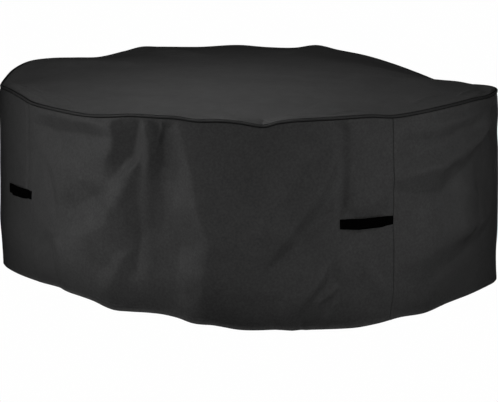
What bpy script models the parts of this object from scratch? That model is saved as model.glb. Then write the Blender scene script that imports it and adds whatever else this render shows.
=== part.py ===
"""A round patio furniture cover: a domed top, four skirt panels, a corded rim seam and four webbing handles.

Metres, +Z up, front towards -Y. The origin is the middle of the top's underside, where the cover is held up.
A bearing is in degrees round the cover: 0 at the front, positive towards +X.
A level runs down the skirt: 0 at the rim seam, 1 at the hem.
"""

from math import cos, degrees, pi, radians, sin

import bpy

MM = 0.001
RIM_RADIUS = 0.925  # to the middle of the corded rim seam
DROP = 0.695  # from the rim seam to the hem
HEM_FLARE = 0.009  # the hem's mean radius is this much larger than the rim's
CROWN = 0.036  # how far the middle of the top stands above the rim seam
CLOTH = 0.002
CORD_RADIUS = 0.004
CORD_SIDES = 8
GAP = 0.0003  # between pieces that are sewn together
RIM_LEVEL_Z = CLOTH - CROWN

SEAMS = {"front": (-55.0, 31.5), "right": (31.5, 124.0), "back": (124.0, 215.0), "left": (215.0, 305.0)}
SEAM_HALF_GAP = 0.01  # degrees

# The rim seam: bearing, reach outwards in mm, rise in mm. It climbs over each chair back and sags between them.
RIM = (
    (-177, 0, 9),
    (-167, 0, 4),
    (-156, 2, 12),
    (-151, 2, 17),
    (-146, 0, 5),
    (-138, -4, -8),
    (-130, -3, 2),
    (-121, 0, 16),
    (-111, 2, 24),
    (-102, 2, 15),
    (-93, 0, 0),
    (-85, 0, -2),
    (-76, 1, 11),
    (-68, 2, 20),
    (-61, 1, 15),
    (-55, 0, 3),
    (-49, -2, -1),
    (-43, -2, -7),
    (-38, -1, -11),
    (-34, 0, -8),
    (-30, 1, 0),
    (-25, 3, 11),
    (-19, 3, 9),
    (-12, 3, 4),
    (-5, 1, 4),
    (-1, 0, 0),
    (3, -4, -11),
    (6, -1, 0),
    (11, 1, 5),
    (20, 2, 8),
    (26, 2, 9),
    (31, 0, 0),
    (35, -1, -2),
    (41, 0, 4),
    (48, 1, 8),
    (58, 2, 9),
    (66, 1, 0),
    (78, 0, -15),
    (90, -2, -32),
    (103, -14, -54),
    (113, -24, -70),
    (121, -28, -76),
    (130, -24, -67),
    (139, -15, -46),
    (148, -6, -22),
    (156, 0, -1),
    (162, 3, 14),
    (168, 0, 0),
    (175, 0, 0),
)

# The hem: bearing, reach in mm, rise in mm.
HEM = (
    (-170, 4, 4),
    (-150, -4, 14),
    (-130, 5, 8),
    (-112, -3, 20),
    (-98, 3, 18),
    (-83, -4, 24),
    (-72, 0, 52),
    (-64, -3, 62),
    (-54, 1, 66),
    (-41, 3, 64),
    (-36, 0, 55),
    (-31, -4, 33),
    (-27, -5, 31),
    (-20, -1, 37),
    (-16, 2, 29),
    (-12, 2, 13),
    (-8, -3, 8),
    (-2, -7, -6),
    (6, -6, -8),
    (14, 0, -13),
    (23, 4, -18),
    (28, 2, -11),
    (34, 0, -4),
    (42, 2, -2),
    (50, 0, 6),
    (62, 3, 7),
    (73, 2, -11),
    (84, 0, -33),
    (100, -12, -46),
    (121, -22, -52),
    (138, -12, -36),
    (152, 2, -12),
    (170, -3, 4),
)

# Folds of the skirt. Each runs from a bearing and level to another, and stands out by its height, or in if negative.
# The widths are how far it reaches to either side, in mm, at its first and at its last end: on the side
# towards lower bearings for a fold that runs down, which is the lower side for one that runs round, and on the other.
# bearing, level, bearing, level, near widths, far widths, height
FOLDS = (
    (-23.5, -0.30, -24.0, 0.42, (110, 75), (42, 42), -9),
    (-21.0, -0.20, -21.6, 0.24, (28, 28), (32, 30), 7),
    (-16.4, -0.20, -17.4, 0.30, (26, 30), (34, 60), -4),
    (-12.0, -0.25, -7.6, 0.86, (60, 200), (45, 70), 10),
    (-23.0, 0.10, -23.0, 1.10, (62, 62), (56, 56), -5),
    (-21.5, 0.06, -41.5, 0.74, (50, 70), (85, 150), 9),
    (-25.5, 0.62, -33.0, 0.88, (26, 34), (40, 60), 4),
    (-30.0, 0.09, -52.0, 0.06, (50, 50), (90, 80), -6),
    (-40.5, 0.24, -36.5, 0.50, (40, 50), (44, 54), -4),
    (10.5, 0.05, 1.0, 0.95, (120, 120), (120, 120), 4),
    (18.0, 0.18, 6.0, 0.70, (60, 90), (70, 80), 4),
    (18.5, 0.80, 6.0, 1.06, (50, 70), (50, 60), -5),
    (34.0, 0.09, 80.0, 0.09, (50, 60), (36, 40), -6),
    (38.0, 0.30, 72.0, 0.12, (70, 50), (50, 36), -5),
    (29.0, 0.92, 72.0, 0.60, (90, 70), (80, 60), 6),
    (84.0, -0.20, 88.0, 1.05, (110, 140), (80, 140), 7),
    (97.0, 0.00, 104.0, 1.10, (90, 110), (110, 120), -8),
    (106.0, 0.10, 92.0, 0.78, (70, 80), (80, 90), 6),
    (136.0, 0.02, 133.0, 1.10, (90, 110), (80, 110), 8),
    (150.0, -0.20, 153.0, 1.10, (70, 110), (80, 90), -7),
    (166.0, -0.20, 163.0, 1.00, (80, 120), (90, 110), 8),
    (184.0, 0.05, 178.0, 1.10, (110, 120), (100, 110), -7),
    (193.0, -0.10, 195.0, 0.90, (60, 90), (70, 80), 6),
    (226.0, -0.20, 222.0, 1.10, (80, 100), (90, 110), -7),
    (239.0, -0.10, 242.0, 1.00, (90, 120), (80, 120), 8),
    (257.0, 0.05, 262.0, 1.10, (90, 120), (90, 110), -7),
    (276.0, -0.20, 280.0, 1.05, (110, 130), (90, 120), 6),
)

# Ridges and hollows of the top: bearing, share of the radius, bearing, share, inner width, outer width, height in mm.
TOP_FOLDS = (
    (-78, 0.86, -30, 0.86, 90, 130, 9),
    (-66, 0.70, -34, 0.66, 110, 100, -5),
    (160, 0.98, 172, 0.55, 90, 90, 8),
    (-152, 0.98, -160, 0.52, 110, 110, 9),
    (-112, 0.98, -124, 0.50, 120, 120, 9),
    (98, 0.98, 70, 0.62, 120, 110, 8),
)
RISE_FROM = 0.50  # share of the radius where the top starts to follow the rim up and down
RISE_SPREAD = 30.0  # degrees: how far the rim's bumps have spread out at the middle of the top

# Stations round the cover: from bearing, to bearing, cells. They are closest where the pleats are.
STATION_RUNS = (
    (-145.0, -55.0, 24),
    (-55.0, -33.0, 8),
    (-33.0, -5.0, 24),
    (-5.0, 7.0, 10),
    (7.0, 31.5, 10),
    (31.5, 124.0, 28),
    (124.0, 215.0, 24),
)
LEVELS = (0.0, 0.05, 0.11, 0.19, 0.29, 0.40, 0.52, 0.64, 0.76, 0.88, 1.0)
# Rings of the top, from its edge to its middle: share of the radius, and one station in how many it uses.
TOP_RINGS = (
    (1.0, 1),
    (0.97, 1),
    (0.92, 1),
    (0.85, 1),
    (0.74, 2),
    (0.60, 2),
    (0.42, 4),
    (0.22, 4),
    (0.09, 8),
)

# Each handle's levels on the skirt, at its free end and at the seam.
HANDLES = {"front": (0.490, 0.495), "right": (0.500, 0.495), "back": (0.495, 0.500), "left": (0.525, 0.505)}
HANDLE_LENGTH = 0.200
HANDLE_WIDTH = 0.038
HANDLE_END_WIDTHS = (0.032, 0.027)  # at its free end and at the seam
HANDLE_ARCH = 0.016
HANDLE_SEWN = 0.022  # length at each end that lies flat on the skirt
HANDLE_CLEAR = 0.0005
HANDLE_CELLS = 16

CLOTH_COLOUR = (0.023, 0.023, 0.024, 1.0)
CORD_COLOUR = (0.020, 0.020, 0.021, 1.0)
WEBBING_COLOUR = (0.004, 0.004, 0.0045, 1.0)


def clear_scene():
    for old in list(bpy.data.objects):
        bpy.data.objects.remove(old, do_unlink=True)


def material(name, colour, roughness):
    made = bpy.data.materials.new(name)
    made.use_nodes = True
    shader = made.node_tree.nodes["Principled BSDF"]
    shader.inputs["Base Color"].default_value = colour
    shader.inputs["Roughness"].default_value = roughness
    shader.inputs["Metallic"].default_value = 0.0
    return made


def smooth(x):
    """0 below 0, 1 above 1, and an even S between."""
    x = min(max(x, 0.0), 1.0)
    return x * x * (3.0 - 2.0 * x)


def around(rows, bearing, column):
    """One column of a table, read at any bearing: a smooth closed curve through its rows."""
    turned = (bearing - rows[0][0]) % 360.0 + rows[0][0]
    after = next((i for i, row in enumerate(rows) if row[0] > turned), len(rows))
    near = []
    for i in range(after - 2, after + 2):
        turns, place = divmod(i, len(rows))
        near.append((rows[place][0] + 360.0 * turns, rows[place][column]))
    (b0, v0), (b1, v1), (b2, v2), (b3, v3) = near
    span = b2 - b1
    t = (turned - b1) / span
    leave = (v2 - v0) / (b2 - b0) * span
    arrive = (v3 - v1) / (b3 - b1) * span
    fall = 2 * t**3 - 3 * t**2
    return (1 + fall) * v1 - fall * v2 + (t**3 - 2 * t**2 + t) * leave + (t**3 - t**2) * arrive


def ridge(x, y, start, end, near_widths, far_widths):
    """A soft ridge of height 1 along a straight line, seen at the point x, y, all in metres."""
    run_x, run_y = end[0] - start[0], end[1] - start[1]
    length = (run_x**2 + run_y**2) ** 0.5
    along = ((x - start[0]) * run_x + (y - start[1]) * run_y) / length**2
    if not -0.1 < along < 1.1:
        return 0.0
    aside = ((x - start[0]) * run_y - (y - start[1]) * run_x) / length
    first, last = near_widths if aside > 0 else far_widths
    share = min(max(along, 0.0), 1.0)
    width = (first + (last - first) * share) * MM
    across = min(abs(aside) / width, 1.0)
    ends = smooth((along + 0.1) / 0.3) * smooth((1.1 - along) / 0.3)
    return (1.0 - across**2) ** 2 * ends


def skirt_relief(bearing, level):
    """How far the folds move the skirt outwards."""
    relief = 0.0
    for bearing_a, level_a, bearing_b, level_b, near_widths, far_widths, height in FOLDS:
        middle = (bearing_a + bearing_b) / 2
        nearest = middle + (bearing - middle + 180.0) % 360.0 - 180.0
        x, y = RIM_RADIUS * radians(nearest), -DROP * level
        start = (RIM_RADIUS * radians(bearing_a), -DROP * level_a)
        end = (RIM_RADIUS * radians(bearing_b), -DROP * level_b)
        relief += height * MM * ridge(x, y, start, end, near_widths, far_widths)
    return relief


def rim(bearing):
    """Radius and height of the middle of the rim seam's cord."""
    return RIM_RADIUS + around(RIM, bearing, 1) * MM, RIM_LEVEL_Z + around(RIM, bearing, 2) * MM


def hem(bearing):
    """Radius and height of the hem."""
    reach, rise = around(HEM, bearing, 1) * MM, around(HEM, bearing, 2) * MM
    return RIM_RADIUS + HEM_FLARE + reach, RIM_LEVEL_Z - DROP + rise


def place(bearing, radius, height):
    turn = radians(bearing)
    return (radius * sin(turn), -radius * cos(turn), height)


def skirt_radius_height(bearing, level):
    """The skirt's outer face, from just under the cord to the hem."""
    rim_radius, rim_z = rim(bearing)
    hem_radius, hem_z = hem(bearing)
    top_z = rim_z - CORD_RADIUS - GAP
    settle = smooth(level / LEVELS[1])
    radius = rim_radius + CLOTH / 2 + (hem_radius - rim_radius) * level + skirt_relief(bearing, level) * settle
    return radius, top_z + (hem_z - top_z) * level


def top_relief(bearing, share):
    """How far the folds lift the top."""
    turn = radians(bearing)
    x, y = share * RIM_RADIUS * sin(turn), -share * RIM_RADIUS * cos(turn)
    relief = 0.0
    for bearing_a, share_a, bearing_b, share_b, inner, outer, height in TOP_FOLDS:
        start = place(bearing_a, share_a * RIM_RADIUS, 0)[:2]
        end = place(bearing_b, share_b * RIM_RADIUS, 0)[:2]
        relief += height * MM * ridge(x, y, start, end, (outer, outer), (inner, inner))
    return relief * (1.0 - smooth((share - 0.9) / 0.1))


def spread_rise(bearing, share):
    """The rim's rise as the top feels it: softer and wider further in."""
    spread = RISE_SPREAD * (1.0 - share)
    offsets = (-2.0, -1.0, 0.0, 1.0, 2.0)
    mean = sum(around(RIM, bearing + spread * offset, 2) for offset in offsets) / len(offsets)
    return mean * MM * smooth((share - RISE_FROM) / (1.0 - RISE_FROM))


def top_point(bearing, share):
    """The top's upper face, from its middle to its edge against the cord."""
    edge_radius = rim(bearing)[0] - CORD_RADIUS - GAP
    dome = (CROWN - CLOTH / 2) * (1.0 - share**2) + CLOTH / 2
    height = RIM_LEVEL_Z + dome + spread_rise(bearing, share) + top_relief(bearing, share)
    return place(bearing, edge_radius * share, height)


def solid(name, points, faces, finish):
    mesh = bpy.data.meshes.new(name)
    mesh.from_pydata(points, [], faces)
    mesh.materials.append(finish)
    mesh.shade_smooth()
    mesh.set_sharp_from_angle(angle=radians(40))
    made = bpy.data.objects.new(name, mesh)
    bpy.context.scene.collection.objects.link(made)
    return made


def closed_sheet(name, outer, inner, faces, border, finish):
    """Cloth from its outer and inner skins, point for point, closed along its border."""
    count = len(outer)
    skin = list(faces)
    skin += [tuple(count + i for i in reversed(face)) for face in faces]
    for a, b in zip(border, border[1:] + border[:1]):
        skin += [(b, a, count + a), (b, count + a, count + b)]
    return solid(name, outer + inner, skin, finish)


def stations():
    """Bearings round the cover, once round from the back left seam."""
    found = []
    for first, last, cells in STATION_RUNS:
        found += [first + (last - first) * i / cells for i in range(cells)]
    return found


def panel_bearings(first, last):
    """The stations of one skirt panel, which stops just short of the seams at its two ends."""
    inside = []
    for bearing in stations():
        beyond = (bearing - first) % 360.0
        if 0.001 < beyond < last - first - 0.001:
            inside.append(first + beyond)
    return [first + SEAM_HALF_GAP, *sorted(inside), last - SEAM_HALF_GAP]


def skirt_panel(name, first, last, finish):
    bearings = panel_bearings(first, last)
    outer, inner = [], []
    for level in LEVELS:
        for bearing in bearings:
            radius, height = skirt_radius_height(bearing, level)
            outer.append(place(bearing, radius, height))
            inner.append(place(bearing, radius - CLOTH, height))
    width = len(bearings)
    faces = []
    for row in range(len(LEVELS) - 1):
        for column in range(width - 1):
            a = row * width + column
            b = a + width
            faces += [(a, b, b + 1), (a, b + 1, a + 1)]
    rows = len(LEVELS)
    left = [row * width for row in range(rows)]
    bottom = [(rows - 1) * width + column for column in range(1, width)]
    right = [row * width + width - 1 for row in reversed(range(rows - 1))]
    upper = list(reversed(range(1, width - 1)))
    closed_sheet(name, outer, inner, faces, left + bottom + right + upper, finish)


def top_panel(finish):
    """The domed disc. Its rings use fewer stations towards the middle."""
    bearings = stations()
    outer, starts = [], []
    for share, step in TOP_RINGS:
        starts.append(len(outer))
        outer += [top_point(bearing, share) for bearing in bearings[::step]]
    middle = len(outer)
    outer.append(top_point(0.0, 0.0))
    faces = []
    for ring in range(len(TOP_RINGS) - 1):
        wide, narrow = starts[ring], starts[ring + 1]
        count, thin = len(bearings) // TOP_RINGS[ring][1], len(bearings) // TOP_RINGS[ring + 1][1]
        ratio = count // thin
        for i in range(thin):
            here, there = narrow + i, narrow + (i + 1) % thin
            spots = [wide + (ratio * i + j) % count for j in range(ratio + 1)]
            faces.append((spots[0], spots[1], here))
            if ratio == 2:
                faces.append((spots[1], there, here))
            faces.append((spots[-2], spots[-1], there) if ratio == 2 else (spots[1], there, here))
    last = starts[-1]
    count = middle - last
    faces += [(last + i, last + (i + 1) % count, middle) for i in range(count)]
    inner = [(x, y, z - CLOTH) for x, y, z in outer]
    border = list(range(len(bearings)))
    closed_sheet("top_panel", outer, inner, faces, border, finish)


def rim_cord(finish):
    """The cord sewn into the seam all round the rim."""
    bearings = stations()
    points, faces = [], []
    for bearing in bearings:
        radius, height = rim(bearing)
        for side in range(CORD_SIDES):
            turn = 2 * pi * side / CORD_SIDES
            points.append(place(bearing, radius + CORD_RADIUS * cos(turn), height + CORD_RADIUS * sin(turn)))
    for i in range(len(bearings)):
        here, there = i * CORD_SIDES, (i + 1) % len(bearings) * CORD_SIDES
        for side in range(CORD_SIDES):
            after = (side + 1) % CORD_SIDES
            faces.append((here + side, there + side, there + after, here + after))
    solid("rim_cord", points, faces, finish)


def handle(name, seam, levels, finish):
    """A flat webbing strap, sewn down at both ends and arched between them. It ends at the seam on its right."""
    sweep = degrees(HANDLE_LENGTH / RIM_RADIUS)
    sewn = HANDLE_SEWN / HANDLE_LENGTH
    points, faces = [], []
    for i in range(HANDLE_CELLS + 1):
        share = i / HANDLE_CELLS
        bearing = seam - sweep * (1.0 - share) - SEAM_HALF_GAP
        inward = min(share, 1.0 - share)
        arch = HANDLE_CLEAR + HANDLE_ARCH * smooth((inward - sewn) / 0.22)
        end_width = HANDLE_END_WIDTHS[0] if share < 0.5 else HANDLE_END_WIDTHS[1]
        width = end_width + (HANDLE_WIDTH - end_width) * smooth(inward / 0.3)
        base, middle = skirt_radius_height(bearing, levels[0] + (levels[1] - levels[0]) * share)
        for lift, side in ((0, -1), (0, 1), (CLOTH, 1), (CLOTH, -1)):
            points.append(place(bearing, base + arch + lift, middle + side * width / 2))
    for i in range(HANDLE_CELLS):
        for side in range(4):
            after = (side + 1) % 4
            a, b = 4 * i + side, 4 * i + after
            faces.append((a, b, b + 4, a + 4))
    last = 4 * HANDLE_CELLS
    faces += [(3, 2, 1, 0), (last, last + 1, last + 2, last + 3)]
    solid(name, points, faces, finish)


def build():
    clear_scene()
    top_panel(material("top_cloth", CLOTH_COLOUR, 0.75))
    rim_cord(material("cord_cloth", CORD_COLOUR, 0.70))
    for side, (first, last) in SEAMS.items():
        skirt_panel(f"skirt_{side}", first, last, material(f"skirt_{side}_cloth", CLOTH_COLOUR, 0.75))
        handle(f"handle_{side}", last, HANDLES[side], material(f"handle_{side}_webbing", WEBBING_COLOUR, 0.85))


build()
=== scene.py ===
"""The looks of a round patio furniture cover: cloth, corded seam with painted crease shade beside it, handles
and stitching, in studio light.

Metres, +Z up, front towards -Y. A bearing is in degrees round the cover: 0 at the front, positive to +X.
A level runs down the skirt: 0 at the rim seam, 1 at the hem. A share runs out over the top: 0 in its middle,
1 at the rim seam. Shapes are worked out on whole arrays of points.
"""

from math import pi, radians

import bpy
import numpy as np
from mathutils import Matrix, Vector


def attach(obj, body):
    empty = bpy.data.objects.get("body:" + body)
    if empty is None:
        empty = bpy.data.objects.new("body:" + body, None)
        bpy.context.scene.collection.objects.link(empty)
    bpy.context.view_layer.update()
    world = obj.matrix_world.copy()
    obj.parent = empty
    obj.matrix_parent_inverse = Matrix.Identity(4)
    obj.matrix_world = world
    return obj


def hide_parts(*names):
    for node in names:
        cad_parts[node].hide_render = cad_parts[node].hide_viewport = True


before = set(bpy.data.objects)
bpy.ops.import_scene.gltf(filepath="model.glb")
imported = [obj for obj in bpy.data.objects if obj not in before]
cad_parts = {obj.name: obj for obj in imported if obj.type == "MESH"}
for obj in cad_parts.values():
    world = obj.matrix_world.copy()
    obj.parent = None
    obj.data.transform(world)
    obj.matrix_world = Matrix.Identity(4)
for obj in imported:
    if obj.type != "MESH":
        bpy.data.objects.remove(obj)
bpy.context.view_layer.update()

MM = 0.001
RIM_RADIUS = 0.925  # from the cover's axis to the middle of the rim's cord
DROP = 0.695  # from the rim's cord to the hem
HEM_FLARE = 0.009  # how far the hem stands out from the rim
CROWN = 0.036  # how far the top's middle stands above the middle of the rim's cord
CLOTH = 0.002  # thickness
CORD_RADIUS = 0.004
GAP = 0.0003  # between sewn pieces
RIM_LEVEL_Z = CLOTH - CROWN

# Skirt panels: the bearings of the upright seams at their two sides.
SEAMS = {"front": (-55.0, 31.5), "right": (31.5, 124.0), "back": (124.0, 215.0), "left": (215.0, 305.0)}

# The rim seam: bearing, reach outwards in mm, rise in mm.
RIM = (
    (-177, 0, 9),
    (-167, 0, 4),
    (-156, 2, 12),
    (-151, 2, 17),
    (-146, 0, 5),
    (-138, -4, -8),
    (-130, -3, 2),
    (-121, 0, 16),
    (-111, 2, 24),
    (-102, 2, 15),
    (-93, 0, 0),
    (-85, 0, -2),
    (-76, 1, 11),
    (-68, 2, 20),
    (-61, 1, 15),
    (-55, 0, 3),
    (-49, -2, 0),
    (-43, -2, -2),
    (-38, -1, -4),
    (-34, 0, -2),
    (-30, 1, 4),
    (-25, 3, 13),
    (-20, 3, 14),
    (-15, 3, 14),
    (-11, 3, 7),
    (-6, 1, 8),
    (-2, 0, 3),
    (3, -4, -10),
    (6, -1, 2),
    (10, 1, 8),
    (20, 2, 10),
    (26, 2, 9),
    (31, 0, 0),
    (35, -1, 0),
    (41, 0, 4),
    (48, 1, 8),
    (58, 2, 9),
    (66, 1, 0),
    (78, 0, -11),
    (90, -2, -26),
    (103, -14, -49),
    (113, -24, -70),
    (121, -28, -76),
    (130, -24, -59),
    (139, -15, -37),
    (148, -6, -15),
    (156, 0, -1),
    (162, 3, 14),
    (168, 0, 0),
    (175, 0, 0),
)

# The hem: bearing, reach in mm, rise in mm.
HEM = (
    (-170, 4, 4),
    (-150, -4, 14),
    (-130, 5, 8),
    (-112, -3, 20),
    (-98, 3, 18),
    (-83, 2, 24),
    (-72, 7, 42),
    (-64, 3, 48),
    (-54, 1, 54),
    (-41, 3, 52),
    (-36, 0, 43),
    (-31, -4, 21),
    (-27, -5, 21),
    (-20, -1, 26),
    (-16, 2, 21),
    (-12, 2, 7),
    (-8, -3, 3),
    (-2, -7, -16),
    (6, -6, -18),
    (14, 0, -23),
    (23, 4, -27),
    (28, 8, -20),
    (34, 8, -11),
    (42, 5, -18),
    (50, 0, -8),
    (62, 3, -5),
    (73, 7, -15),
    (84, 6, -33),
    (100, -12, -46),
    (121, -22, -52),
    (138, -12, -36),
    (152, 2, -12),
    (170, -3, 4),
)

# Folds of the skirt. Each follows a path of bearings and levels, and stands out by its height in mm, or in if
# that is negative. The widths are how far it reaches to either side, in mm. The near side is the one towards
# lower bearings for a fold that runs down, and the lower one for a fold that runs right.
# Widths and heights are one number, one for each end, or one for each corner of the path.
# Roundness is 0.1 for a sharp crest and 2 for a soft one. Hollow is 1 for straight flanks and 2 for ones that
# run out softly.
# path, near widths, far widths, heights, roundness, hollow
FOLDS = (
    # the gathered pleats under the rim, left of the front
    (
        ((-22.7, -0.12), (-22.3, 0.01), (-21.4, 0.06), (-20.5, 0.12), (-20.5, 0.20), (-22.0, 0.33)),
        (16, 16, 26, 36, 38, 30),
        (40, 40, 42, 44, 50, 50),
        (13, 14, 22, 27, 21, 9),
        0.2,
        1.2,
    ),
    (((-18.0, -0.12), (-18.9, 0.17)), (12, 10), (10, 9), 6, 0.5, 1.5),
    (((-20.6, -0.10), (-20.6, 0.22)), (16, 20), (14, 30), -3, 0.4, 1.5),
    (
        ((-17.9, -0.40), (-17.8, 0.00), (-17.7, 0.30), (-18.1, 0.58), (-15.9, 0.80), (-15.6, 1.40)),
        (50, 60, 150, 240, 200, 180),
        (38, 54, 108, 172, 112, 100),
        (-13, -16, -27, -27, -22, -18),
        0.10,
        1.0,
    ),
    (
        ((-13.8, 0.02), (-11.2, 0.30), (-7.4, 0.58), (-8.9, 0.80), (-9.4, 1.40)),
        (50, 92, 122, 98, 92),
        (160, 200, 300, 280, 280),
        (10, 28, 58, 46, 28),
        0.12,
        1.1,
    ),
    (((-23.0, 0.12), (-23.8, 0.55), (-23.8, 1.08)), (70, 76), (32, 60), (-8, -6, -3), 0.1, 1.3),
    # the long slanting fold and the hollows round it
    (
        ((-21.3, 0.10), (-25.0, 0.32), (-28.4, 0.45), (-34.0, 0.57), (-41.5, 0.74)),
        (34, 42, 66, 110, 150),
        (90, 110, 150, 180, 190),
        (4, 11, 17, 18, 18),
        0.2,
        1.1,
    ),
    (((-30.0, -0.15), (-30.6, 0.08), (-32.3, 0.30)), (220, 160), (60, 50), 7, 0.15, 1.2),
    (
        ((-24.7, -0.10), (-25.0, 0.10), (-25.6, 0.20), (-28.6, 0.28), (-32.0, 0.37)),
        (100, 60),
        (34, 50),
        (-34, -34, -30, -20, -12),
        0.15,
        1.1,
    ),
    (((-24.2, 0.64), (-29.0, 0.80), (-34.0, 0.95)), (44, 60), (60, 70), 9, 0.3, 1.3),
    (((-56.0, 0.105), (-40.0, 0.11), (-28.0, 0.095)), (150, 120), (64, 56), -19, 0.12, 1.3),
    (((-46.0, 0.50), (-39.0, 0.52), (-34.5, 0.46), (-31.5, 0.36)), (110, 80), (150, 110), -17, 0.5, 1.4),
    (((-44.5, 0.60), (-43.5, 0.80), (-43.5, 1.15)), (60, 60), (150, 150), 15, 1, 1.5),
    (((-48.5, 0.64), (-48.0, 0.84), (-48.0, 1.10)), (90, 90), (50, 50), -7, 1, 2),
    (((-49.2, 0.26), (-45.6, 0.60)), (40, 40), (32, 32), -5, 1, 2),
    (((-56.7, -0.14), (-56.4, 0.64)), (20, 22), (12, 12), -5, 0.15, 1.4),
    # the middle
    (((-5.0, 0.02), (2.5, 0.26), (6.0, 0.60)), (130, 150), (60, 70), 11, 0.6, 1.6),
    (((19.0, 0.12), (13.6, 0.36), (9.5, 0.47), (2.0, 0.70)), (90, 100), (40, 50), 27, 0.25, 1.3),
    (((17.6, 0.63), (11.5, 0.835), (7.0, 1.12)), (60, 75), (32, 46), 25, 0.2, 1.2),
    (((19.0, 0.76), (14.5, 0.87), (11.6, 1.04)), (26, 30), (24, 26), 11, 0.2, 1.3),
    (((19.0, 0.84), (15.6, 1.00)), (16, 16), (18, 18), 8, 0.2, 1.3),
    (((19.6, -0.25), (19.8, 0.20), (19.6, 0.60)), (44, 40), (28, 28), -8, 0.6, 1.5),
    (((19.6, 0.43), (11.5, 0.57)), (10, 10), (8, 8), 4, 0.3, 1.5),
    (((19.6, 0.46), (13.8, 0.60)), (8, 8), (8, 8), 4, 0.3, 1.5),
    (((19.6, 0.41), (11.6, 0.48)), (8, 8), (8, 8), -3.5, 0.3, 1.5),
    (((15.5, 0.665), (28.5, 0.67)), (90, 90), (95, 95), 7, 0.8, 1.8),
    (((20.0, 0.41), (31.0, 0.38)), (60, 60), (110, 110), 12, 0.6, 1.8),
    (((24.5, 0.68), (28.5, 0.80), (29.5, 0.92)), (50, 50), (30, 30), 6, 0.6, 1.8),
    # right of the right seam
    (
        ((28.0, 0.08), (50.0, 0.075), (64.0, 0.06), (82.0, 0.04)),
        (46, 46),
        (40, 40),
        (14, 15, 12, 6),
        0.3,
        1.4,
    ),
    (
        (
            (28.0, 0.28),
            (38.0, 0.285),
            (44.0, 0.275),
            (50.0, 0.24),
            (56.0, 0.20),
            (62.0, 0.15),
            (70.0, 0.09),
            (78.0, 0.04),
        ),
        (104, 98, 90, 76, 66, 60, 54, 54),
        (84, 80, 78, 70, 62, 54, 46, 38),
        (26, 31, 32, 32, 32, 31, 26, 14),
        0.2,
        1.2,
    ),
    (
        ((56.0, 0.36), (66.0, 0.28), (76.0, 0.23), (88.0, 0.20)),
        (80, 130),
        (60, 110),
        (-4, -12, -14, -10),
        0.5,
        1.5,
    ),
    (
        ((29.0, 0.74), (45.0, 0.67), (60.0, 0.63), (72.0, 0.61)),
        (140, 105, 66, 60),
        (200, 180),
        (20, 23, 24, 16),
        0.2,
        1.3,
    ),
    (((62.0, 0.11), (72.0, 0.12), (84.0, 0.14)), (60, 110), (60, 80), (-8, -30, -30), 0.3, 1.3),
    (((48.0, 0.24), (49.5, 0.44)), (60, 60), (60, 60), -5, 1, 2),
    (((58.0, 0.30), (53.0, 0.50), (53.0, 0.74)), (150, 150), (110, 110), 21, 0.4, 1.4),
    # the rest of the way round
    (((84.0, -0.20), (88.0, 1.05)), (110, 140), (80, 140), 7, 2, 2),
    (((97.0, 0.00), (104.0, 1.10)), (90, 110), (110, 120), -8, 2, 2),
    (((106.0, 0.10), (92.0, 0.78)), (70, 80), (80, 90), 6, 2, 2),
    (((136.0, 0.02), (133.0, 1.10)), (90, 110), (80, 110), 8, 2, 2),
    (((150.0, -0.20), (153.0, 1.10)), (70, 110), (80, 90), -7, 2, 2),
    (((166.0, -0.20), (163.0, 1.00)), (80, 120), (90, 110), 8, 2, 2),
    (((184.0, 0.05), (178.0, 1.10)), (110, 120), (100, 110), -7, 2, 2),
    (((193.0, -0.10), (195.0, 0.90)), (60, 90), (70, 80), 6, 2, 2),
    (((226.0, -0.20), (222.0, 1.10)), (80, 100), (90, 110), -7, 2, 2),
    (((239.0, -0.10), (242.0, 1.00)), (90, 120), (80, 120), 8, 2, 2),
    (((257.0, 0.05), (262.0, 1.10)), (90, 120), (90, 110), -7, 2, 2),
    (((276.0, -0.20), (280.0, 1.05)), (110, 130), (90, 120), 6, 2, 2),
)

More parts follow.
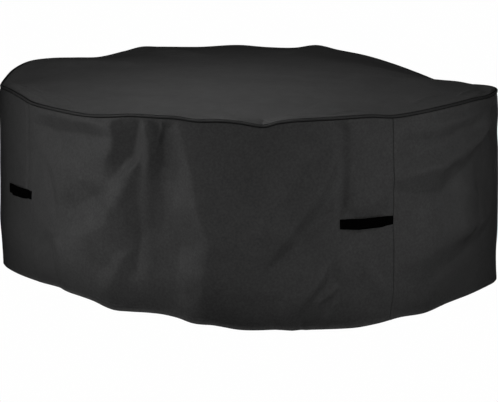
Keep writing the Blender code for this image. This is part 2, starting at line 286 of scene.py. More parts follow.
# Folds of the top, in the same columns but with shares for levels. The near side is the outer one for a fold
# whose path runs towards higher bearings.
TOP_FOLDS = (
    # the fan of creases at the left
    (
        ((-84, 0.985), (-62, 0.925), (-51, 0.875), (-32, 0.83)),
        (110, 150),
        (50, 100),
        (10, 9, 7, 4),
        0.1,
        1.1,
    ),
    (((-84, 0.995), (-66, 0.965), (-54, 0.94)), (12, 12), (10, 10), 6, 0.3, 1.3),
    (((-82, 0.995), (-64, 0.982), (-50, 0.95)), (10, 10), (9, 9), 5, 0.3, 1.3),
    (((-76, 0.97), (-60, 0.925), (-44, 0.912)), (10, 14), (9, 12), 5, 0.3, 1.3),
    (((-64, 0.985), (-50, 0.965), (-38, 0.965)), (10, 12), (9, 12), 4.5, 0.3, 1.3),
    (((-38.5, 1.00), (-36, 0.97), (-30, 0.955)), (9, 9), (9, 9), -5, 0.3, 1.3),
    # the pinch near the middle
    (((-4, 1.00), (1, 0.965), (5, 0.965), (10, 1.00)), (12, 12), (12, 12), 7, 0.4, 1.3),
    (((-10, 0.985), (1, 0.94), (6, 0.94), (16, 0.985)), (14, 14), (12, 12), 5, 0.4, 1.3),
    (((2.6, 1.01), (3.2, 0.93)), (10, 10), (10, 10), -7, 0.3, 1.3),
    # short creases at the right
    (((16, 0.955), (28, 0.90)), (12, 12), (12, 12), 5, 0.3, 1.3),
    (((41, 0.90), (58, 0.865)), (14, 14), (12, 12), 5, 0.3, 1.3),
    (((58, 0.935), (66, 0.915), (71, 0.917), (80, 0.95)), (16, 16), (14, 14), 7, 0.3, 1.3),
    (((62, 1.00), (77, 0.965), (90, 0.92)), (24, 28), (16, 18), -6, 0.2, 1.2),
    (((70, 1.00), (80, 0.985), (90, 0.95)), (14, 14), (10, 10), 7, 0.3, 1.3),
    # broad and soft
    (((-66, 0.70), (-34, 0.66)), (100, 100), (110, 110), -4, 2, 2),
    (((160, 0.98), (172, 0.55)), (90, 90), (90, 90), 8, 2, 2),
    (((-152, 0.98), (-160, 0.52)), (110, 110), (110, 110), 9, 2, 2),
    (((-112, 0.98), (-124, 0.50)), (120, 120), (120, 120), 9, 2, 2),
    (((98, 0.98), (70, 0.62)), (110, 110), (120, 120), 8, 2, 2),
)

# Handles: the levels of their two ends. The second end lies at the panel's second seam.
HANDLES = {"front": (0.490, 0.495), "right": (0.500, 0.495), "back": (0.495, 0.500), "left": (0.525, 0.505)}
HANDLE_LENGTH = 0.200
HANDLE_WIDTH = 0.0365
HANDLE_END_WIDTHS = (0.034, 0.030)
HANDLE_ARCH = 0.011
HANDLE_SEWN = 0.022
HANDLE_CLEAR = 0.0005
HANDLE_FROM_SEAM = 0.01  # degrees
HANDLE_RISE, HANDLE_TAPER = 0.22, 0.3  # shares of its length over which it lifts off and widens


# ---------------------------------------------------------------- shapes


def smooth(x):
    """0 below 0, 1 above 1, and an even S between."""
    x = np.clip(x, 0.0, 1.0)
    return x * x * (3.0 - 2.0 * x)


def around(rows, bearing, column):
    """One column of a table, read at any bearing: a smooth closed curve through its rows."""
    knots = np.array([row[0] for row in rows], float)
    values = np.array([row[column] for row in rows], float)
    turned = (bearing - knots[0]) % 360.0 + knots[0]
    after = np.searchsorted(knots, turned, side="right")

    def row(index):
        turns, spot = np.divmod(index, len(rows))
        return knots[spot] + 360.0 * turns, values[spot]

    (b0, v0), (b1, v1), (b2, v2), (b3, v3) = (row(after + step) for step in (-2, -1, 0, 1))
    span = b2 - b1
    t = (turned - b1) / span
    leave = (v2 - v0) / (b2 - b0) * span
    arrive = (v3 - v1) / (b3 - b1) * span
    fall = 2 * t**3 - 3 * t**2
    return (1 + fall) * v1 - fall * v2 + (t**3 - 2 * t**2 + t) * leave + (t**3 - t**2) * arrive


END_SHARE = 0.3  # of a fold's length, over which it dies away
END_WIDTH = 0.4  # share of its width that a fold keeps at its very ends
FOOT = 0.12  # share of a flank that is rounded where it meets the flat cloth


def along_path(numbers, along, corners):
    """One number, one for each end or one for each corner, read at a share of a path's length."""
    numbers = np.atleast_1d(np.array(numbers, float))
    places = corners if len(numbers) == len(corners) else np.linspace(0.0, 1.0, len(numbers))
    return np.interp(along, places, numbers)


def fold_form(x, y, path, near_widths, far_widths, heights, roundness, hollow):
    """The relief at the points x, y of a fold along a path of straight runs.

    The fold narrows and sinks at its ends. Its widths and heights are in mm, and the rest is in metres.
    """
    corners = np.array(path, float)
    runs = np.diff(corners, axis=0)
    lengths = np.hypot(runs[:, 0], runs[:, 1])
    before = np.concatenate([[0.0], np.cumsum(lengths)])
    total = before[-1]
    nearest = np.full(x.shape, np.inf)
    aside = np.zeros_like(x)
    along = np.zeros_like(x)
    for start, run, length, passed in zip(corners[:-1], runs, lengths, before):
        start_x, start_y = start
        run_x, run_y = run
        share = ((x - start_x) * run_x + (y - start_y) * run_y) / length**2
        side = ((x - start_x) * run_y - (y - start_y) * run_x) / length
        inside = np.clip(share, 0.0, 1.0)
        distance = np.hypot(x - start_x - inside * run_x, y - start_y - inside * run_y)
        closer = distance < nearest
        nearest = np.where(closer, distance, nearest)
        aside = np.where(closer, np.where(side >= 0, 1.0, -1.0), aside)
        along = np.where(closer, (passed + inside * length) / total, along)
    places = before / total
    near, far = along_path(near_widths, along, places), along_path(far_widths, along, places)
    ends = smooth(along / END_SHARE) * smooth((1.0 - along) / END_SHARE)
    width = np.where(aside > 0, near, far) * MM * (END_WIDTH + (1.0 - END_WIDTH) * ends)
    across = np.minimum(nearest / width, 1.0)
    across = (np.sqrt(across**2 + roundness**2) - roundness) / (np.sqrt(1.0 + roundness**2) - roundness)
    flank = 1.0 - across
    flank = np.where(flank < FOOT, flank**2 / (2 * FOOT), flank - FOOT / 2) / (1.0 - FOOT / 2)
    return along_path(heights, along, places) * MM * flank**hollow * ends


def lattice(u, v, seed, cells_u=97, cells_v=89):
    """Smooth seeded noise between -1 and 1, which repeats after cells_u by cells_v."""
    values = np.random.default_rng(seed).uniform(-1.0, 1.0, (cells_u, cells_v))
    i, j = np.floor(u).astype(int), np.floor(v).astype(int)
    s, t = smooth(u - i), smooth(v - j)
    i0, i1, j0, j1 = i % cells_u, (i + 1) % cells_u, j % cells_v, (j + 1) % cells_v
    low = values[i0, j0] * (1 - s) + values[i1, j0] * s
    high = values[i0, j1] * (1 - s) + values[i1, j1] * s
    return low * (1 - t) + high * t


def skirt_noise(bearing, level, layers):
    """Layers of noise on the skirt, in metres. Each has a pitch in metres, a reach in mm and a seed."""
    turn = 2 * pi * RIM_RADIUS
    total = np.zeros_like(bearing)
    for pitch, reach, seed in layers:
        cells = round(turn / pitch)
        total += reach * MM * lattice(bearing / 360.0 * cells, DROP * level / pitch, seed, cells_u=cells)
    return total


# How far the folds wander from their paths, sideways and up or down.
WANDER_SIDE = ((0.105, 9.0, 51), (0.040, 3.0, 51))
WANDER_DOWN = ((0.105, 9.0, 61), (0.040, 3.0, 61))

# Levels over which the folds come in below the cord, and how much a high fold adds for each mm of height.
SETTLE, SETTLE_MORE = 0.02, 0.0027

# Near the hem the folds lose a share of their height, from a level and over a length in levels.
HEM_CALM, HEM_CALM_FROM, HEM_CALM_OVER = 0.45, 0.7, 0.3


def skirt_relief(bearing, level):
    """How far the folds move the skirt outwards."""
    relief = np.zeros_like(bearing)
    wander_x = skirt_noise(bearing, level, WANDER_SIDE)
    wander_y = skirt_noise(bearing, level, WANDER_DOWN)
    for path, *form in FOLDS:
        middle = sum(spot[0] for spot in path) / len(path)
        nearest = middle + (bearing - middle + 180.0) % 360.0 - 180.0
        x = RIM_RADIUS * np.radians(nearest) + wander_x
        y = -DROP * level + wander_y
        corners = [(RIM_RADIUS * radians(spot[0]), -DROP * spot[1]) for spot in path]
        height = fold_form(x, y, corners, *form)
        relief += height * smooth(level / (SETTLE + SETTLE_MORE / MM * np.abs(height)))
    return relief * (1.0 - HEM_CALM * smooth((level - HEM_CALM_FROM) / HEM_CALM_OVER))


# Unevenness of the cloth: pitch in metres, height in mm, seed.
SKIRT_RUMPLE = ((0.170, 2.6, 3), (0.074, 1.0, 5), (0.031, 0.28, 8))
TOP_RUMPLE = ((0.170, 2.6, 23), (0.074, 1.0, 25), (0.031, 0.28, 28))
RUMPLE_SETTLE = 0.03  # level or share over which it comes in beside the cord


def top_rumple(x, y):
    """How far the top's unevenness lifts it."""
    total = np.zeros_like(x)
    for pitch, height, seed in TOP_RUMPLE:
        total += height * MM * lattice(x / pitch, y / pitch, seed)
    return total


def rim(bearing):
    """Radius and height of the middle of the rim seam's cord."""
    return RIM_RADIUS + around(RIM, bearing, 1) * MM, RIM_LEVEL_Z + around(RIM, bearing, 2) * MM


def hem(bearing):
    """Radius and height of the hem."""
    reach, rise = around(HEM, bearing, 1) * MM, around(HEM, bearing, 2) * MM
    return RIM_RADIUS + HEM_FLARE + reach, RIM_LEVEL_Z - DROP + rise


def place(bearing, radius, height):
    """Points at bearings, distances from the cover's axis and heights."""
    turn = np.radians(bearing)
    return np.stack([radius * np.sin(turn), -radius * np.cos(turn), height + np.zeros_like(turn)], axis=-1)


def aside_of_seams(bearing):
    """The distance from each upright seam in turn, positive towards higher bearings."""
    return [RIM_RADIUS * np.radians((bearing - first + 180.0) % 360.0 - 180.0) for first, _ in SEAMS.values()]


SEAM_GROOVE, SEAM_GROOVE_WIDTH = 0.0016, 0.0024
SEAM_LAP, SEAM_LAP_WIDTH, SEAM_LAP_EDGE = 0.0008, 0.010, 0.002


def seam_form(bearing):
    """The groove at each upright seam and the doubled cloth beside it."""
    form = np.zeros_like(bearing)
    for aside in aside_of_seams(bearing):
        form -= SEAM_GROOVE * np.clip(1.0 - np.abs(aside) / SEAM_GROOVE_WIDTH, 0.0, 1.0) ** 2
        lap = smooth(aside / SEAM_GROOVE_WIDTH) * smooth((SEAM_LAP_WIDTH - aside) / SEAM_LAP_EDGE)
        form += SEAM_LAP * np.where(aside > 0, lap, 0.0)
    return form


HEM_FOLD, HEM_DEPTH, HEM_EDGE = 0.0004, 0.024, 0.0025  # the band's thickness, its depth and its edge's width
HEM_GROOVE, HEM_GROOVE_WIDTH = 0.0006, 0.002


def hem_form(level, length):
    """The turned-up hem: a thicker band with a stitched groove at its upper edge."""
    above = (1.0 - level) * length
    band = HEM_FOLD * smooth((HEM_DEPTH - above) / HEM_EDGE)
    from_groove = np.abs(above - HEM_DEPTH + HEM_GROOVE_WIDTH)
    return band - HEM_GROOVE * np.clip(1.0 - from_groove / HEM_GROOVE_WIDTH, 0.0, 1.0)


# How far the skirt is drawn in just above the hem, or out where negative: bearing, depth in mm.
HEM_CURL = (
    (-160, 8),
    (-100, 6),
    (-80, 4),
    (-72, 8),
    (-55, 24),
    (-47, 34),
    (-40, 25),
    (-35, 21),
    (-30, 28),
    (-25, 34),
    (-20, 28),
    (-14, 20),
    (-9, 35),
    (-3, 42),
    (3, 36),
    (9, 38),
    (14, 38),
    (20, 34),
    (27, 24),
    (32, 21),
    (43, 28),
    (50, 20),
    (58, 8),
    (68, 1),
    (78, -3),
    (130, 8),
    (170, 10),
)
CURL_TOP, CURL_LOW = 0.78, 0.985  # levels where it starts and is deepest
CURL_BACK = 0.04  # share of the depth that comes back at the hem


def hem_curl(bearing, level):
    """The skirt goes in towards the foot, then comes back a little."""
    drawn = np.clip((level - CURL_TOP) / (CURL_LOW - CURL_TOP), 0.0, 1.0) ** 2
    back = CURL_BACK * smooth((level - CURL_LOW) / (1.0 - CURL_LOW))
    return -around(HEM_CURL, bearing, 1) * MM * (drawn - back)


SEAM_PUCKER, SEAM_PUCKER_REACH, SEAM_PUCKER_SEED = 0.0016, 0.018, 71
SEAM_PUCKER_LENGTH, SEAM_PUCKER_PITCH, SEAM_PUCKER_SLANT = 0.08, 0.036, 0.5


def seam_pucker(bearing, level):
    """Ripples that cross the upright seams, where the stitching draws the cloth up."""
    total = np.zeros_like(bearing)
    down = DROP * level / SEAM_PUCKER_PITCH
    for aside in aside_of_seams(bearing):
        ripple = lattice(aside / SEAM_PUCKER_LENGTH + SEAM_PUCKER_SLANT * down, down, SEAM_PUCKER_SEED)
        total += SEAM_PUCKER * ripple * np.exp(-np.abs(aside) / SEAM_PUCKER_REACH)
    return total


# Short ripples beside the sewn lines: their height, pitch and settling, and for each line its seed and reach.
PUCKER, PUCKER_PITCH, PUCKER_SETTLE = 0.0006, 0.021, 0.004
RIM_PUCKER, HEM_PUCKER, TOP_PUCKER = (31, 0.020), (37, 0.012), (41, 0.022)


def pucker(bearing, distance, seed, reach):
    """Short ripples beside a sewn line, fading over the given reach."""
    cells = round(2 * pi * RIM_RADIUS / PUCKER_PITCH)
    ripple = lattice(bearing / 360.0 * cells, np.full_like(bearing, 0.5), seed, cells_u=cells)
    return PUCKER * ripple * np.exp(-distance / reach)


def skirt_radius_height(bearing, level):
    """The skirt's outer face, from just under the cord to the hem."""
    rim_radius, rim_z = rim(bearing)
    hem_radius, hem_z = hem(bearing)
    top_z = rim_z - CORD_RADIUS - GAP
    length = top_z - hem_z
    radius = rim_radius + CLOTH / 2 + (hem_radius - rim_radius) * level
    rumple = skirt_noise(bearing, level, SKIRT_RUMPLE) * smooth(level / RUMPLE_SETTLE)
    radius += skirt_relief(bearing, level) + rumple
    radius += hem_curl(bearing, level) + seam_pucker(bearing, level)
    radius += seam_form(bearing) + hem_form(level, length)
    below = level * length
    radius += pucker(bearing, below, *RIM_PUCKER) * smooth(below / PUCKER_SETTLE)
    radius += pucker(bearing, np.abs((1.0 - level) * length - HEM_DEPTH), *HEM_PUCKER)
    return radius, top_z - length * level


TOP_SETTLE = 0.012  # share over which the top's folds come in beside the cord


def top_relief(bearing, share):
    """How far the folds lift the top."""
    turn = np.radians(bearing)
    x, y = share * RIM_RADIUS * np.sin(turn), -share * RIM_RADIUS * np.cos(turn)
    relief = np.zeros_like(x)
    for path, *form in TOP_FOLDS:
        corners = [place(spot[0], spot[1] * RIM_RADIUS, 0.0)[:2] for spot in path]
        relief += fold_form(x, y, corners, *form)
    rumple = top_rumple(x, y) * smooth((1.0 - share) / RUMPLE_SETTLE)
    return relief * smooth((1.0 - share) / TOP_SETTLE) + rumple


RISE_FROM = 0.50  # share from which the top follows the rim's rise
RISE_SPREAD = 30.0  # degrees between the bearings averaged for it at the middle, and none at the rim


def spread_rise(bearing, share):
    """The rim's rise as the top feels it: softer and wider further in."""
    spread = RISE_SPREAD * (1.0 - share)
    offsets = (-2.0, -1.0, 0.0, 1.0, 2.0)
    mean = sum(around(RIM, bearing + spread * offset, 2) for offset in offsets) / len(offsets)
    return mean * MM * smooth((share - RISE_FROM) / (1.0 - RISE_FROM))


ROLL_HEIGHT = 0.0035
ROLL_OUT, ROLL_BACK = 0.008, 0.050  # distances over which it comes up from the cord and goes down again


def edge_roll(inside):
    """The top's edge stands up a little beside the sewn cord."""
    return ROLL_HEIGHT * smooth(inside / ROLL_OUT) * (1.0 - smooth((inside - ROLL_OUT) / ROLL_BACK))


def top_points(bearing, share):
    """The top's upper face, from its middle to its edge against the cord."""
    edge_radius = rim(bearing)[0] - CORD_RADIUS - GAP
    dome = (CROWN - CLOTH / 2) * (1.0 - share**2) + CLOTH / 2
    height = RIM_LEVEL_Z + dome + spread_rise(bearing, share) + top_relief(bearing, share)
    inside = (1.0 - share) * RIM_RADIUS
    height += pucker(bearing, inside, *TOP_PUCKER) * smooth(inside / PUCKER_SETTLE) + edge_roll(inside)
    return place(bearing, edge_radius * share, height)


# ---------------------------------------------------------------- meshes


def mesh_object(name, points, faces, uv, finish):
    """A smooth shaded piece. uv holds a place in metres for each point, for the weave."""
    mesh = bpy.data.meshes.new(name)
    mesh.from_pydata(np.asarray(points).tolist(), [], faces)
    layer = mesh.uv_layers.new(name="weave")
    corners = np.zeros(len(mesh.loops), int)
    mesh.loops.foreach_get("vertex_index", corners)
    layer.uv.foreach_set("vector", np.asarray(uv, float)[corners].ravel())
    mesh.materials.append(finish)
    mesh.shade_smooth()
    made = bpy.data.objects.new(name, mesh)
    bpy.context.scene.collection.objects.link(made)
    return made


SHARP_ANGLE = radians(60)


def closed_sheet(name, outer, inner, faces, border, uv, finish):
    """Cloth from its outer and inner skins, point for point, closed along its border."""
    count = len(outer)
    skin = list(faces)
    skin += [tuple(count + i for i in reversed(face)) for face in faces]
    skin += [(b, a, count + a, count + b) for a, b in zip(border, border[1:] + border[:1])]
    made = mesh_object(name, np.concatenate([outer, inner]), skin, np.concatenate([uv, uv]), finish)
    made.data.set_sharp_from_angle(angle=SHARP_ANGLE)
    return made


def grid_sheet(name, outer, inner, uv, finish):
    """Cloth over a grid: rows of points for its outer and inner skins."""
    rows, columns = outer.shape[:2]
    index = np.arange(rows * columns).reshape(rows, columns)
    quads = np.stack([index[:-1, :-1], index[1:, :-1], index[1:, 1:], index[:-1, 1:]], axis=-1)
    border = [*index[:, 0], *index[-1, 1:], *index[-2::-1, -1], *index[0, -2:0:-1]]
    faces, border = quads.reshape(-1, 4).tolist(), [int(i) for i in border]
    outer, inner, uv = outer.reshape(-1, 3), inner.reshape(-1, 3), uv.reshape(-1, 2)
    return closed_sheet(name, outer, inner, faces, border, uv, finish)


def steps_to(last, step, close_first, close_last):
    """Distances from 0 to last: given close steps from both ends, and an even step between."""
    low, high = close_first[-1], last - close_last[-1]
    middle = np.linspace(low, high, round((high - low) / step) + 1)
    return np.concatenate([close_first[:-1], middle, (last - np.array(close_last[:-1]))[::-1]])


# Steps of the skirt's grids: an even one for each side, and close ones beside a seam, the rim and the hem.
STEPS = {"front": 0.0055, "right": 0.0062, "left": 0.0062, "back": 0.0085}
SEAM_STEPS = (GAP / 2, 0.0007, 0.0014, 0.0020, 0.0026, 0.0036, 0.0060, 0.0085, 0.0105, 0.0140, 0.0200)
RIM_STEPS = (0.0, 0.0015, 0.0035, 0.006, 0.010, 0.015, 0.021)
HEM_STEPS = (0.0, 0.0012, 0.004, 0.010, 0.016, 0.0200, 0.0210, 0.0220, 0.0230, 0.0240, 0.0256, 0.0300)


def skirt_panel(side, finish):
    """One panel of the skirt, between two upright seams."""
    first, last = SEAMS[side]
    arcs = steps_to(RIM_RADIUS * radians(last - first), STEPS[side], SEAM_STEPS, SEAM_STEPS)
    downs = steps_to(DROP, STEPS[side], RIM_STEPS, HEM_STEPS)
    bearing, level = np.meshgrid(first + np.degrees(arcs / RIM_RADIUS), downs / DROP)
    radius, height = skirt_radius_height(bearing, level)
    outer = place(bearing, radius, height)
    inner = place(bearing, radius - CLOTH, height)
    uv = np.stack([RIM_RADIUS * np.radians(bearing), height], axis=-1)
    return grid_sheet(f"skirt_{side}_cloth", outer, inner, uv, finish)


TOP_STATIONS = 720

# Rings of the top: the first ones' distances from its edge, then steps with the distance up to which each is
# used, and the radius inside which no ring is begun.
EDGE_RINGS = (0.0, 0.0015, 0.0035, 0.006, 0.010, 0.015)
RING_STEPS = ((0.09, 0.0055), (0.25, 0.009), (RIM_RADIUS, 0.014))
LAST_RING = 0.02


def top_shares():
    """Rings of the top, from its edge to its middle."""
    inside = list(EDGE_RINGS)
    while inside[-1] < RIM_RADIUS - LAST_RING:
        inside.append(inside[-1] + next(step for reach, step in RING_STEPS if inside[-1] < reach))
    return 1.0 - np.array(inside) / RIM_RADIUS


def top_panel(finish):
    """The domed disc. Its rings use fewer stations towards the middle."""
    outer, starts, counts = [], [], []
    total = 0
    for share in top_shares():
        count = TOP_STATIONS
        while share * TOP_STATIONS < count / 2 and count % 2 == 0:
            count //= 2
        bearing = np.arange(count) * 360.0 / count
        outer.append(top_points(bearing, np.full(count, share)))
        starts.append(total)
        counts.append(count)
        total += count
    outer.append(top_points(np.zeros(1), np.zeros(1)))
    outer = np.concatenate(outer)
    faces = []
    for ring in range(len(starts) - 1):
        wide, narrow, count, thin = starts[ring], starts[ring + 1], counts[ring], counts[ring + 1]
        for i in range(thin):
            here, there = narrow + i, narrow + (i + 1) % thin
            if count == thin:
                faces.append((wide + i, wide + (i + 1) % count, there, here))
            else:
                a, b, c = (wide + (2 * i + step) % count for step in range(3))
                faces += [(a, b, here), (b, there, here), (b, c, there)]
    last, count = starts[-1], counts[-1]
    faces += [(last + i, last + (i + 1) % count, total) for i in range(count)]
    inner = outer - np.array([0.0, 0.0, CLOTH])
    return closed_sheet("top_cloth", outer, inner, faces, list(range(TOP_STATIONS)), outer[:, :2], finish)


CORD_STATIONS = 1200
CORD_SIDES, CREASE_SHADE_SIDES = 14, 6

# Painted shade: thin near-black tubes beside the cord that stand in for the shaded creases where it meets the
# top and the skirt: shift outwards, shift upwards, radius.
RIM_CREASE_SHADE_LINES = {"upper": (-0.0040, 0.0040, 0.0015), "lower": (0.0024, -0.0042, 0.0013)}


def rim_tube(name, out, up, radius, sides, finish):
    """A round tube all round the rim, shifted from the middle of the seam's cord."""
    bearing = np.arange(CORD_STATIONS) * 360.0 / CORD_STATIONS
    rim_radius, height = rim(bearing)
    centres = place(bearing, rim_radius + out, height + up)
    asides = place(bearing, np.ones(CORD_STATIONS), 0.0)
    turn = np.arange(sides) * 2 * pi / sides
    ring = np.cos(turn)[None, :, None] * asides[:, None, :] + np.sin(turn)[None, :, None] * [0.0, 0.0, 1.0]
    points = (centres[:, None, :] + radius * ring).reshape(-1, 3)
    faces = []
    for i in range(CORD_STATIONS):
        here, there = i * sides, (i + 1) % CORD_STATIONS * sides
        for side in range(sides):
            after = (side + 1) % sides
            faces.append((here + side, there + side, there + after, here + after))
    step = 2 * pi * RIM_RADIUS / CORD_STATIONS
    along = np.repeat(np.arange(CORD_STATIONS) * step, sides)
    uv = np.stack([along, np.tile(turn * radius, CORD_STATIONS)], axis=-1)
    return mesh_object(name, points, faces, uv, finish)


HANDLE_STEPS, HANDLE_ACROSS = 72, 8


def handle(side, finish):
    """A webbing strap, sewn down at both ends and arched between them."""
    share = np.linspace(0.0, 1.0, HANDLE_STEPS + 1)
    from_end = np.minimum(share, 1.0 - share)
    bearing = SEAMS[side][1] - np.degrees(HANDLE_LENGTH / RIM_RADIUS) * (1.0 - share) - HANDLE_FROM_SEAM
    far_level, seam_level = HANDLES[side]
    base, middle = skirt_radius_height(bearing, far_level + (seam_level - far_level) * share)
    arch = HANDLE_CLEAR + HANDLE_ARCH * smooth((from_end - HANDLE_SEWN / HANDLE_LENGTH) / HANDLE_RISE)
    end_width = np.where(share < 0.5, *HANDLE_END_WIDTHS)
    width = end_width + (HANDLE_WIDTH - end_width) * smooth(from_end / HANDLE_TAPER)
    across = np.linspace(-0.5, 0.5, HANDLE_ACROSS + 1)
    heights = middle[:, None] + width[:, None] * across[None, :]
    bearings = bearing[:, None] + np.zeros_like(heights)
    radius = (base + arch)[:, None] + np.zeros_like(heights)
    inner = place(bearings, radius, heights)
    outer = place(bearings, radius + CLOTH, heights)
    uv = np.stack([share[:, None] * HANDLE_LENGTH + np.zeros_like(heights), heights], axis=-1)
    return grid_sheet(f"handle_{side}_webbing", outer, inner, uv, finish)


# ---------------------------------------------------------------- materials


def new_material(name):
    """A material with its nodes, links and shader."""
    made = bpy.data.materials.new(name)
    made.use_nodes = True
    tree = made.node_tree
    return made, tree.nodes, tree.links, tree.nodes["Principled BSDF"]


def weave_height(nodes, links, yarns_across, yarns_along):
    """Crossing yarns, so many to the metre each way: rounded bumps and hollows in turn."""
    spot = nodes.new("ShaderNodeUVMap")
    spot.uv_map = "weave"
    split = nodes.new("ShaderNodeSeparateXYZ")
    links.new(spot.outputs["UV"], split.inputs["Vector"])
    waves = []
    for axis, yarns in (("X", yarns_across), ("Y", yarns_along)):
        scaled = nodes.new("ShaderNodeMath")
        scaled.operation = "MULTIPLY"
        scaled.inputs[1].default_value = pi * yarns
        links.new(split.outputs[axis], scaled.inputs[0])
        wave = nodes.new("ShaderNodeMath")
        wave.operation = "SINE"
        links.new(scaled.outputs[0], wave.inputs[0])
        waves.append(wave)
    product = nodes.new("ShaderNodeMath")
    product.operation = "MULTIPLY"
    links.new(waves[0].outputs[0], product.inputs[0])
    links.new(waves[1].outputs[0], product.inputs[1])
    return product.outputs[0]


def noise(nodes, links, cells, detail):
    """Noise with so many cells to the metre."""
    spot = nodes.new("ShaderNodeTexCoord")
    made = nodes.new("ShaderNodeTexNoise")
    made.inputs["Scale"].default_value = cells
    made.inputs["Detail"].default_value = detail
    links.new(spot.outputs["Object"], made.inputs["Vector"])
    return made.outputs["Fac"]


def grey(value):
    return (value, value, value, 1.0)


# Unevenness of the cloth's looks: cells to the metre, detail, the noise's low and high end, and how much the
# tone (as a share) or the roughness goes up and down.
CLOUDS = (7.0, 4.0, 0.30, 0.70, 0.07)
FLECKS = (130.0, 2.0, 0.32, 0.68, 0.22)
SHEEN = (23.0, 3.0, 0.30, 0.70, 0.05)


def uneven_grey(nodes, links, value, unevenness):
    cells, detail, low, high, share = unevenness
    made = nodes.new("ShaderNodeValToRGB")
    dark, bright = made.color_ramp.elements
    dark.position = low
    dark.color = grey(value * (1.0 - share))
    bright.position = high
    bright.color = grey(value * (1.0 + share))
    links.new(noise(nodes, links, cells, detail), made.inputs["Fac"])
    return made.outputs["Color"]


def uneven_number(nodes, links, value, unevenness):
    cells, detail, low, high, reach = unevenness
    made = nodes.new("ShaderNodeMapRange")
    made.inputs["From Min"].default_value = low
    made.inputs["From Max"].default_value = high
    made.inputs["To Min"].default_value = value - reach
    made.inputs["To Max"].default_value = value + reach
    links.new(noise(nodes, links, cells, detail), made.inputs["Value"])
    return made.outputs["Result"]


WEAVE_STRENGTH, WEAVE_HEIGHT = 0.35, 0.00025


def cloth_material(name, tone, yarns, roughness, shine):
    """Coated polyester: a fine plain weave with faint clouds and flecks of tone, and an uneven sheen."""
    made, nodes, links, shader = new_material(name)
    mixed = nodes.new("ShaderNodeMix")
    mixed.data_type = "RGBA"
    mixed.blend_type = "MULTIPLY"
    mixed.inputs["Factor"].default_value = 1.0
    links.new(uneven_grey(nodes, links, tone, CLOUDS), mixed.inputs["A"])
    links.new(uneven_grey(nodes, links, 1.0, FLECKS), mixed.inputs["B"])
    links.new(mixed.outputs["Result"], shader.inputs["Base Color"])
    links.new(uneven_number(nodes, links, roughness, SHEEN), shader.inputs["Roughness"])
    shader.inputs["Specular IOR Level"].default_value = shine
    bump = nodes.new("ShaderNodeBump")
    bump.inputs["Strength"].default_value = WEAVE_STRENGTH
    bump.inputs["Distance"].default_value = WEAVE_HEIGHT
    links.new(weave_height(nodes, links, *yarns), bump.inputs["Height"])
    links.new(bump.outputs["Normal"], shader.inputs["Normal"])
    return made


# ---------------------------------------------------------------- stage, light and camera

GROUND_DROP = 0.95  # from the rim's cord down to the ground
GROUND_Z = RIM_LEVEL_Z - GROUND_DROP
FLOOR_REACH = 30.0
WHITE, BLACK = 0.994, 0.0
AMBIENT = 0.01

# Lights: name, bearing, distance from the cover's axis, height, height aimed at, size, power in watts.
LIGHTS = (
    ("side_left", -80.0, 4.0, 0.80, -0.30, (1.3, 0.7), 51.0),
    ("near_left", -43.0, 2.25, -0.20, -0.30, (0.5, 0.9), 9.8),
    ("over_left", -40.0, 0.7, 1.70, 0.00, (0.7, 0.5), 6.3),
    ("over_middle", -50.0, 0.35, 1.10, 0.00, (0.5, 0.4), 5.0),
    ("over_front", -14.0, 0.85, 1.10, 0.00, (0.5, 0.4), 5.2),
    ("low_front", 8.0, 2.2, -0.80, -0.50, (0.9, 0.3), 4.6),
    ("near_right", 48.0, 2.2, -0.30, -0.30, (0.5, 0.9), 5.2),
    ("high_right", 50.0, 2.4, 0.80, -0.30, (0.5, 0.7), 6.8),
    ("mid_right", 24.0, 2.6, 1.00, -0.30, (0.6, 0.6), 5.4),
    ("behind_left", -160.0, 3.0, -0.70, -0.45, (1.2, 0.4), 14.0),
    ("behind_right", 158.0, 3.0, -0.70, -0.45, (1.2, 0.4), 14.0),
)

# A black flag, which no camera sees, keeps the side light off the cover's far left.
FLAG_X, FLAG_FRONT, FLAG_BACK = -1.9, -0.55, 1.2
FLAG_LOW, FLAG_HIGH = -1.0, 1.4


def glow(name, tone):
    """A plain surface that shows one tone in any light."""
    made, nodes, links, shader = new_material(name)
    nodes.remove(shader)
    light = nodes.new("ShaderNodeEmission")
    light.inputs["Color"].default_value = grey(tone)
    links.new(light.outputs["Emission"], nodes["Material Output"].inputs["Surface"])
    return made


def quad(name, corners, finish):
    """A flat piece with four corners."""
    mesh = bpy.data.meshes.new(name)
    mesh.from_pydata(corners, [], [(0, 1, 2, 3)])
    mesh.materials.append(finish)
    made = bpy.data.objects.new(name, mesh)
    bpy.context.scene.collection.objects.link(made)
    return made


def area_light(name, spot, aim, size, power):
    """A rectangular light at a spot, turned towards its aim."""
    light = bpy.data.lights.new(name, "AREA")
    light.shape = "RECTANGLE"
    light.size, light.size_y = size
    light.energy = power
    made = bpy.data.objects.new(name, light)
    made.location = spot
    made.rotation_euler = (Vector(aim) - Vector(spot)).to_track_quat("-Z", "Y").to_euler()
    bpy.context.scene.collection.objects.link(made)


def backgrounds():
    """The pale floor and backdrop. They light nothing and shade nothing."""
    low, high = -FLOOR_REACH, FLOOR_REACH
    floor = [(low, low, GROUND_Z), (high, low, GROUND_Z), (high, high, GROUND_Z), (low, high, GROUND_Z)]
    backdrop = [(low, high, GROUND_Z), (high, high, GROUND_Z), (high, high, high), (low, high, high)]
    for name, corners in (("floor", floor), ("backdrop", backdrop)):
        made = quad(name, corners, glow(f"{name}_white", WHITE))
        made.visible_diffuse = False
        made.visible_glossy = False
        made.visible_shadow = False


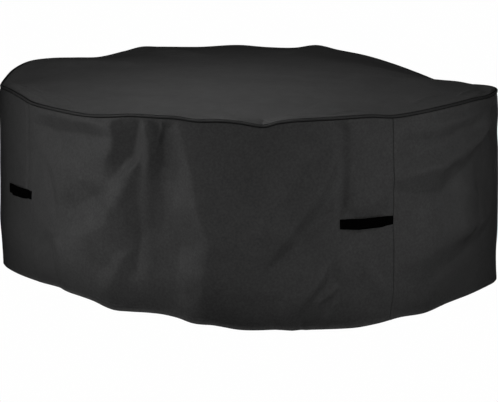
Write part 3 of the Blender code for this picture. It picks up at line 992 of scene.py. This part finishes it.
def flag():
    """The black flag, upright at the left."""
    black, _, _, shader = new_material("flag_black")
    shader.inputs["Base Color"].default_value = grey(BLACK)
    made = quad(
        "flag",
        [
            (FLAG_X, FLAG_FRONT, FLAG_LOW),
            (FLAG_X, FLAG_BACK, FLAG_LOW),
            (FLAG_X, FLAG_BACK, FLAG_HIGH),
            (FLAG_X, FLAG_FRONT, FLAG_HIGH),
        ],
        black,
    )
    made.visible_camera = False


def studio():
    """Backgrounds, flag, faint light from all round and the lights."""
    backgrounds()
    flag()
    world = bpy.data.worlds.new("studio")
    world.use_nodes = True
    sky = world.node_tree.nodes["Background"]
    sky.inputs["Color"].default_value = grey(1.0)
    sky.inputs["Strength"].default_value = AMBIENT
    bpy.context.scene.world = world
    for name, bearing, distance, height, aim_height, size, power in LIGHTS:
        area_light(name, tuple(place(bearing, distance, height)), (0.0, 0.0, aim_height), size, power)
    bpy.context.scene.view_settings.view_transform = "Standard"


CAMERA_BACK, CAMERA_UP = 7.012, 1.0695  # from the cover's axis, and above the rim seam
CAMERA_DOWN = 12.32  # degrees
CAMERA_LENS, CAMERA_SENSOR = 136.05, 36.0  # millimetres


def camera():
    """The photo's view: from the front, a little from above."""
    data = bpy.data.cameras.new("photo_view")
    data.lens = CAMERA_LENS
    data.sensor_width = CAMERA_SENSOR
    made = bpy.data.objects.new("photo_view", data)
    made.location = (0.0, -CAMERA_BACK, RIM_LEVEL_Z + CAMERA_UP)
    made.rotation_euler = (radians(90.0 - CAMERA_DOWN), 0.0, 0.0)
    bpy.context.scene.collection.objects.link(made)
    bpy.context.scene.camera = made


# ---------------------------------------------------------------- the cover


def dress():
    """All pieces of the cover, in place of its solids."""
    cloth = cloth_material("cover_cloth", tone=0.030, yarns=(1400, 1400), roughness=0.72, shine=0.35)
    cord_cloth = cloth_material("cord_cloth", tone=0.012, yarns=(1400, 1400), roughness=0.70, shine=0.35)
    webbing = cloth_material("webbing", tone=0.0012, yarns=(900, 500), roughness=1.0, shine=0.0)
    # Near-black tone for the painted crease shade lines along the rim.
    crease_shade = cloth_material("crease_shade", tone=0.004, yarns=(900, 900), roughness=0.9, shine=0.05)

    cord = rim_tube("rim_cord_cloth", 0.0, 0.0, CORD_RADIUS, CORD_SIDES, cord_cloth)
    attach(cord, "root")
    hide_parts("rim_cord")
    # Two near-black tubes beside the cord, painted shade for the creases where it meets the top and the
    # skirt.
    for row, (out, up, radius) in RIM_CREASE_SHADE_LINES.items():
        line = rim_tube(f"rim_{row}_thread", out, up, radius, CREASE_SHADE_SIDES, crease_shade)
        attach(line, "root")

    top = top_panel(cloth)
    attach(top, "root")
    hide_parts("top_panel")

    for side, (first, last) in SEAMS.items():
        panel = skirt_panel(side, cloth)
        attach(panel, "root")
        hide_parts(f"skirt_{side}")
        strap = handle(side, webbing)
        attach(strap, "root")
        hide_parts(f"handle_{side}")


camera()
studio()
dress()
